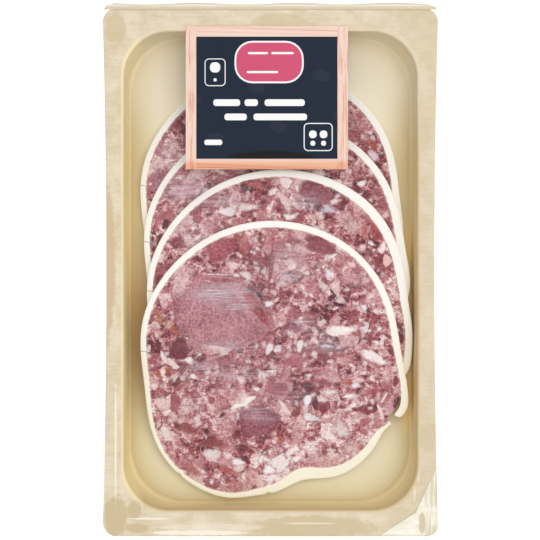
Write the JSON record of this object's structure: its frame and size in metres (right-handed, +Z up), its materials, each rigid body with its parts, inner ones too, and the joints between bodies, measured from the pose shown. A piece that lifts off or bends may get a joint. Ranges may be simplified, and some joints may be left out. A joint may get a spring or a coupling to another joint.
{
  "type": "sliced terrine pack",
  "caption": "Shingled round slices of pork snout and tongue terrine in a shallow tray with a clear lid film and a blank label.",
  "frame": {"origin": "on the ground under the middle of the pack, which lies flat with its film up", "axes": "+X across the pack, +Y along it towards the label end, +Z up out of the film"},
  "size_m": [0.1502, 0.2392, 0.02],
  "materials": {
    "tray_plastic": "warm beige thermoformed sheet, satin, finely speckled",
    "terrine": "moist cut mosaic of lean meat, fat and jelly inside a cream rind",
    "tongue": "moist even pink meat with short fibres",
    "lean_meat": "moist dark red fibrous meat",
    "fat": "moist whitish pink fat and cartilage",
    "clear_film": "thin clear glossy film, sealed to the rim, with faint streaks",
    "label_paper": "printed paper, slate blue panel in a light wood pattern border"
  },
  "bodies": {
    "root": {"tray": "tray_plastic", "slice_1": "terrine", "slice_2": "terrine", "slice_3": "terrine", "slice_4": "terrine", "tongue_piece": "tongue", "muscle_top": "lean_meat", "muscle_right": "lean_meat", "muscle_left": "lean_meat", "muscle_low": "lean_meat", "muscle_behind": "lean_meat", "cartilage_piece": "fat", "fat_right": "fat", "fat_low": "fat", "lid_film": "clear_film", "label": "label_paper"}
  },
  "joints": []
}
